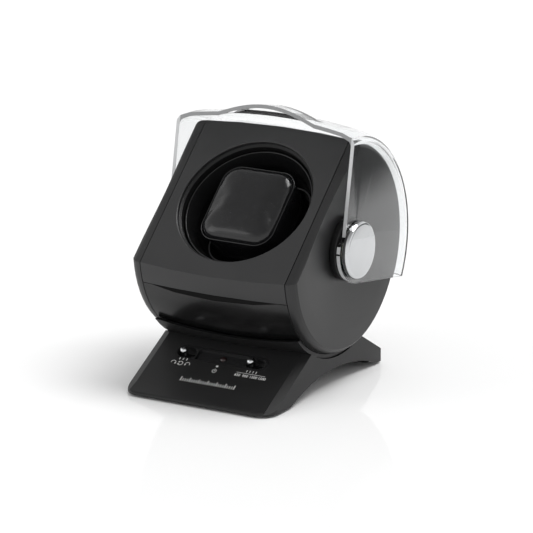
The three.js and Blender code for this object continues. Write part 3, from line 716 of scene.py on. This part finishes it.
def printed_numbers():
    """Turns per day beside the four stops of the right lever."""
    for text, x in (("650", 16.6), ("900", 22.9), ("1200", 29.4), ("1500", 36.3)):
        curve = bpy.data.curves.new(f"number_{text}", "FONT")
        curve.body = text
        curve.size = 3.1 * MM
        curve.align_x = "CENTER"
        curve.align_y = "CENTER"
        curve.extrude = 0.015 * MM
        curve.offset = 0.05 * MM
        obj = new_object(f"number_{text}", curve)
        obj.matrix_world = PANEL @ Matrix.Translation(Vector((x, -13.2, 0.035)) * MM)
        obj.data.materials.append(INK)
        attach(obj, "housing")


printed_marks()
printed_numbers()

# ------------------------------------------------------------------ clear cover
COVER_T = 2.7  # wall
COVER_X = 72  # half width over the side plates
COVER_CROWN_R = 87.4  # outer radius at the middle
COVER_DROP = 4.9  # how much less the radius is at COVER_DROP_X
COVER_DROP_X = 60
COVER_FRONT = 16.4  # front edge, in front of the drum's axis
COVER_LEAN = math.radians(10.5)
TAB_X = 39  # finger tab: half width
TAB_RISE = 6.8
TAB_DEPTH = 15
LUG_R = 22.2  # round end of the side plates, about the pivot
LUG_REACH = 78  # its faces lie within this distance of the drum's centre
PIVOT_HOLE_R = 9.1
LOWER_EDGE = ((-0.8, -24.4), (130, -44.9))  # (y, z) from the axis
EDGE_UP = Vector((0, math.sin(COVER_LEAN), math.cos(COVER_LEAN)))
EDGE_FORWARD = Vector((0, -math.cos(COVER_LEAN), math.sin(COVER_LEAN)))
COVER_EDGE = placed(X_AXIS, EDGE_UP, EDGE_FORWARD, DRUM_AXIS)
COVER_PLAN = placed(X_AXIS, -EDGE_FORWARD, EDGE_UP, DRUM_AXIS)


def cover_radius(x):
    return COVER_CROWN_R - COVER_DROP * (x / COVER_DROP_X) ** 2


def cover_body(name, inset):
    """The drum-shaped solid under the cover's outer surface, or under its inner one."""
    right = [
        (0, COVER_X - inset),
        (76 - inset * 0.7, COVER_X - inset),
        (79.2 - inset * 0.88, 69.8 - inset * 0.75),
    ]
    for x in (62 - inset * 0.4, 52, 42, 32, 21, 10.5):
        right.append((cover_radius(x) - inset, x))
    right = rounded(right[:4], 0.8, 3)[:-1] + right[3:]
    left = [(radius, -x) for radius, x in right][::-1]
    return lathe(name, right + [(COVER_CROWN_R - inset, 0)] + left, ABOUT_AXIS, 144)


def tab_height(x):
    share = max(0.0, 1 - (x / TAB_X) ** 2) ** 1.2
    radius = cover_radius(x) + TAB_RISE * share
    return math.sqrt(radius**2 - COVER_FRONT**2)


def cover_tab(name, inset):
    steps = 48
    top = []
    for i in range(steps + 1):
        x = TAB_X - 2 * TAB_X * i / steps
        top.append((x, tab_height(x) - inset))
    outline = [(-TAB_X, 60), (TAB_X, 60)] + top
    body = prism(name, outline, COVER_FRONT - TAB_DEPTH + inset, COVER_FRONT + 3, COVER_EDGE)
    back = -(COVER_FRONT - TAB_DEPTH + inset)
    plan = rounded_rectangle(TAB_X - inset * 0.4, 30, 11 - inset * 0.5, (0, back - 30), 10)
    return boolean(body, prism("plan", plan, 50, 110, COVER_PLAN), "INTERSECT")


def cover_outline():
    """The cover seen along the drum's axis: everything behind its front edge and above its lower edge."""
    def on_edge(t):
        return (
            -COVER_FRONT * math.cos(COVER_LEAN) + t * math.sin(COVER_LEAN),
            COVER_FRONT * math.sin(COVER_LEAN) + t * math.cos(COVER_LEAN),
        )
    points = [on_edge(110), on_edge(9), (-16.6, 9.3), (-19.3, 7.7)]
    points += arc((0, 0), LUG_R, 163, 241, 24)
    points += [(-5.8, -22.4), *LOWER_EDGE, (130, 130), (0, 130)]
    return points


def split_at(obj, x):
    """Cuts the faces that cross a plane square to X, leaving the surface whole."""
    bm = bmesh.new()
    bm.from_mesh(obj.data)
    everything = bm.verts[:] + bm.edges[:] + bm.faces[:]
    bmesh.ops.bisect_plane(bm, geom=everything, plane_co=(x, 0, 0), plane_no=(1, 0, 0))
    bm.to_mesh(obj.data)
    bm.free()


def clear_cover():
    """One hollow moulding. Its sawn edges take an edge material: 1 on the plates, painted lighter, 2 on
    the wrap, painted darker.
    """
    cover = boolean(cover_body("cover_moulding", 0), cover_tab("tab", 0), "UNION")
    inside = boolean(cover_body("inside", COVER_T), cover_tab("tab_inside", COVER_T), "UNION")
    cover = boolean(cover, inside, "DIFFERENCE")
    cover = boolean(cover, prism("sector", cover_outline(), -90, 90, ABOUT_AXIS), "INTERSECT")
    bore = lathe("bore", [(0, -90), (PIVOT_HOLE_R, -90), (PIVOT_HOLE_R, 90), (0, 90)], ABOUT_AXIS, 64)
    cover = boolean(cover, bore, "DIFFERENCE")
    plate_inside = (COVER_X - COVER_T) * MM
    split_at(cover, plate_inside)
    split_at(cover, -plate_inside)
    smooth(cover, 24)
    soften(cover, 0.35, angle=24)
    piece(cover, ACRYLIC, "cover", ["clear_cover"])
    cover.data.materials.append(PAINTED_LIGHT_PLATE_EDGE)
    cover.data.materials.append(PAINTED_SHADE_WRAP_EDGE)
    (front_y, front_z), (back_y, back_z) = LOWER_EDGE
    lower_normal = Vector((0, back_z - front_z, front_y - back_y)).normalized()
    for face in cover.data.polygons:
        place = face.center - DRUM_AXIS
        reach = place.dot(EDGE_FORWARD)
        cut_front = face.normal.dot(EDGE_FORWARD) > 0.99 and reach > (COVER_FRONT - 0.4) * MM
        lug = abs(face.normal.x) < 0.05 and face.normal.y < 0 and place.length < LUG_REACH * MM
        cut_lower = face.normal.dot(lower_normal) > 0.995
        if cut_front or place.z < 0 and (lug or cut_lower):
            face.material_index = 1 if abs(face.center.x) > plate_inside else 2


clear_cover()

# ------------------------------------------------------------------ cushion
CUSHION_BASE = -5.2  # from the drum's axis, along the face's normal


def cushion_block():
    """A squared pillow: its sides bow in a little at the waist and its top is crowned."""
    # height, half width, half depth, corner radius
    layers = [
        (CUSHION_BASE, 27.0, 29.0, 11), (CUSHION_BASE + 3, 28.6, 30.6, 12), (12, 28.2, 30.2, 12),
        (26, 28.0, 30.0, 12.5), (36, 28.4, 30.4, 12.5), (40.2, 26.8, 28.8, 12), (41.9, 23.5, 25.5, 11),
        (42.6, 16, 17.5, 9), (42.8, 7, 8, 5),
    ]
    bm = bmesh.new()
    rings = []
    for height, half_x, half_u, radius in layers:
        outline = rounded_rectangle(half_x, half_u, radius, steps=10)
        rings.append([bm.verts.new(LEAN @ (Vector((a, b, height)) * MM)) for a, b in outline])
    for low, high in zip(rings, rings[1:]):
        for i in range(len(low)):
            j = (i + 1) % len(low)
            bm.faces.new([low[i], low[j], high[j], high[i]])
    bm.faces.new(rings[0][::-1])
    bm.faces.new(rings[-1])
    return from_bmesh("cushion_cover", bm)


def puff(obj, pressure, voxel, limit):
    """Fills a pad with air by cloth simulation, holding each point within limit of where it was."""
    remesh = obj.modifiers.new("remesh", "REMESH")
    remesh.mode = "VOXEL"
    remesh.voxel_size = voxel * MM
    apply_modifiers(obj)
    rest = [vertex.co.copy() for vertex in obj.data.vertices]
    cloth = obj.modifiers.new("cloth", "CLOTH")
    cloth.settings.use_pressure = True
    cloth.settings.uniform_pressure_force = pressure
    cloth.settings.effector_weights.gravity = 0
    cloth.settings.quality = 6
    scene = bpy.context.scene
    for step in range(1, 21):
        scene.frame_set(step)
    apply_modifiers(obj)
    scene.frame_set(1)
    for vertex, start in zip(obj.data.vertices, rest):
        moved = vertex.co - start
        if moved.length > limit * MM:
            vertex.co = start + moved.normalized() * limit * MM
    divide = obj.modifiers.new("divide", "SUBSURF")
    divide.levels = 1
    divide.render_levels = 1
    apply_modifiers(obj)
    obj.data.shade_smooth()


def ring_tube(name, outline, height, radius, place):
    """A cord of round section laid along a closed outline."""
    curve = bpy.data.curves.new(name, "CURVE")
    curve.dimensions = "3D"
    spline = curve.splines.new("POLY")
    spline.points.add(len(outline) - 1)
    for point, (a, b) in zip(spline.points, outline):
        point.co = (*(place @ (Vector((a, b, height)) * MM)), 1)
    spline.use_cyclic_u = True
    curve.bevel_depth = radius * MM
    curve.bevel_resolution = 4
    obj = new_object(name, curve)
    graph = bpy.context.evaluated_depsgraph_get()
    mesh = bpy.data.meshes.new_from_object(obj.evaluated_get(graph))
    bpy.data.objects.remove(obj)
    obj = new_object(name, mesh)
    obj.data.shade_smooth()
    return obj


def watch_cushion():
    pad = cushion_block()
    puff(pad, pressure=4, voxel=2.4, limit=0.9)
    piece(pad, LEATHER, "cushion", ["watch_cushion"])
    seam = rounded_rectangle(28.6, 30.6, 12.6, steps=12)
    piece(ring_tube("cushion_piping", seam, 37.4, 0.5, LEAN), LEATHER, "cushion")


watch_cushion()

# ------------------------------------------------------------------ camera
CAMERA_AZIMUTH = math.radians(30.65)
CAMERA_ELEVATION = math.radians(15.41)
CAMERA_DISTANCE = 2.9257
CAMERA_LENS = 280.8
TARGET = Vector((0, DRUM_AXIS.y, 0.07773))


def camera():
    back = Vector((
        math.sin(CAMERA_AZIMUTH) * math.cos(CAMERA_ELEVATION),
        -math.cos(CAMERA_AZIMUTH) * math.cos(CAMERA_ELEVATION),
        math.sin(CAMERA_ELEVATION),
    ))
    data = bpy.data.cameras.new("camera")
    data.lens = CAMERA_LENS
    data.sensor_width = 36
    data.clip_end = 50
    obj = bpy.data.objects.new("camera", data)
    obj.location = TARGET + back * CAMERA_DISTANCE
    obj.rotation_euler = (-back).to_track_quat("-Z", "Y").to_euler()
    bpy.context.scene.collection.objects.link(obj)
    bpy.context.scene.camera = obj


# ------------------------------------------------------------------ floor and light
def floor():
    bm = bmesh.new()
    bmesh.ops.create_grid(bm, x_segments=2, y_segments=2, size=12)
    obj = from_bmesh("floor", bm)
    s = Surface("floor_white", (0.9, 0.9, 0.9), 0.05, IOR=1.14)
    s.rough(s.noise(3, 2), 0.03, 0.07)
    obj.data.materials.append(s.material)


def area_light(name, location, target, size, power):
    data = bpy.data.lights.new(name, "AREA")
    data.shape = "RECTANGLE"
    data.size, data.size_y = size
    data.energy = power
    obj = bpy.data.objects.new(name, data)
    obj.location = location
    direction = Vector(target) - Vector(location)
    obj.rotation_euler = direction.to_track_quat("-Z", "Y").to_euler()
    bpy.context.scene.collection.objects.link(obj)


def sky():
    """A white studio, dimmer overhead."""
    world = bpy.data.worlds.new("studio")
    bpy.context.scene.world = world
    world.use_nodes = True
    background = world.node_tree.nodes["Background"]
    background.inputs["Color"].default_value = (1, 1, 1, 1)
    links = world.node_tree.links
    place = world.node_tree.nodes.new("ShaderNodeTexCoord")
    height = world.node_tree.nodes.new("ShaderNodeSeparateXYZ")
    links.new(place.outputs["Generated"], height.inputs[0])
    fade = world.node_tree.nodes.new("ShaderNodeMapRange")
    fade.interpolation_type = "SMOOTHSTEP"
    fade.inputs["From Min"].default_value = 0.25
    fade.inputs["From Max"].default_value = 0.95
    fade.inputs["To Min"].default_value = 1.0
    fade.inputs["To Max"].default_value = 0.4
    links.new(height.outputs["Z"], fade.inputs["Value"])
    links.new(fade.outputs["Result"], background.inputs["Strength"])


def sun(direction, strength, angle):
    data = bpy.data.lights.new("sun", "SUN")
    data.energy = strength
    data.angle = math.radians(angle)
    obj = bpy.data.objects.new("sun", data)
    obj.rotation_euler = Vector(direction).to_track_quat("Z", "Y").to_euler()
    bpy.context.scene.collection.objects.link(obj)


CARD_ALONG = Vector((0.51, 0.86, 0)).normalized()  # the camera's view, mirrored in the right side cap
CARD_FROM = Vector((0.075, 0, 0))  # on the ground by that cap
CARD_DISTANCE = 0.43
CARD_FADE = 0.052  # height over which it turns dark
CARD_SLANT = 0.45  # the fade rises this much towards the card's back edge


def shade_card():
    """A card beside the set, white at the floor and dark above, which only shows in reflections."""
    across = Vector((-CARD_ALONG.y, CARD_ALONG.x, 0))
    centre = CARD_FROM + CARD_ALONG * CARD_DISTANCE
    bm = bmesh.new()
    corners = [(-0.12, 0), (0.16, 0), (0.16, 0.16), (-0.12, 0.16)]
    bm.faces.new([bm.verts.new(centre + across * a + Vector((0, 0, h))) for a, h in corners])
    obj = from_bmesh("shade_card", bm)
    obj.visible_camera = False
    obj.visible_shadow = False
    obj.visible_diffuse = False
    s = Surface("card", (0, 0, 0), 1.0)
    slant = Vector((0, 0, 1)) - across * CARD_SLANT
    height = s.node("ShaderNodeVectorMath", operation="DOT_PRODUCT")
    height.inputs[1].default_value = slant
    s.tree.links.new(s.place, height.inputs[0])
    base = centre.dot(slant)
    fade = s.node("ShaderNodeMapRange", interpolation_type="SMOOTHSTEP")
    fade.inputs["From Min"].default_value = base
    fade.inputs["From Max"].default_value = base + CARD_FADE
    fade.inputs["To Min"].default_value = 0.95
    fade.inputs["To Max"].default_value = 0.06
    s.tree.links.new(height.outputs["Value"], fade.inputs["Value"])
    glow = s.node("ShaderNodeEmission")
    s.tree.links.new(fade.outputs["Result"], glow.inputs["Strength"])
    s.tree.links.new(glow.outputs[0], s.tree.nodes["Material Output"].inputs["Surface"])
    obj.data.materials.append(s.material)


camera()
floor()
sky()
shade_card()
sun(direction=(0.3, 0.3, 0.9), strength=1.9, angle=35)
area_light("left_box", location=(-1.7, -1.5, 1.3), target=(0, 0, 0.1), size=(1.0, 1.6), power=6)
bpy.context.scene.view_settings.view_transform = "Standard"
